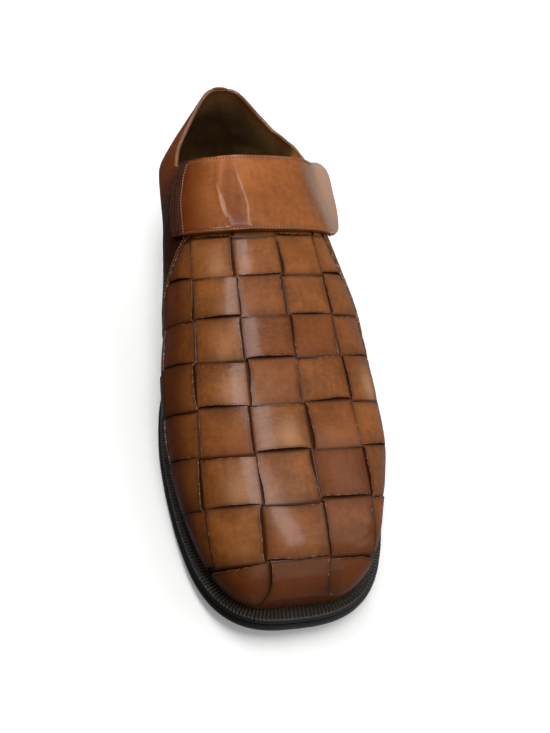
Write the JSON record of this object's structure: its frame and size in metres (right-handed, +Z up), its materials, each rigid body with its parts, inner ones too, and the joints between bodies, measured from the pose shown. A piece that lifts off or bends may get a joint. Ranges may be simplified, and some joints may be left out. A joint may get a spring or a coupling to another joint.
{
  "type": "strap shoe",
  "caption": "Left low shoe with a vamp of broad woven leather strips, plain sides, a wide strap over the instep, a stitched welt and a low heel.",
  "frame": {"origin": "middle of the shoe's box, on the floor under the sole", "axes": "+X to the outer side of the foot, -Y towards the toe, +Z up"},
  "size_m": [0.1098, 0.3088, 0.0992],
  "materials": {
    "sole": "satin",
    "welt": "satin",
    "upper": "polished",
    "lining": "matt"
  },
  "bodies": {
    "root": {"outsole": "sole", "heel": "sole", "welt": "welt", "insole": "lining", "upper": "upper", "strap": "upper", "backstay": "upper"}
  },
  "joints": []
}
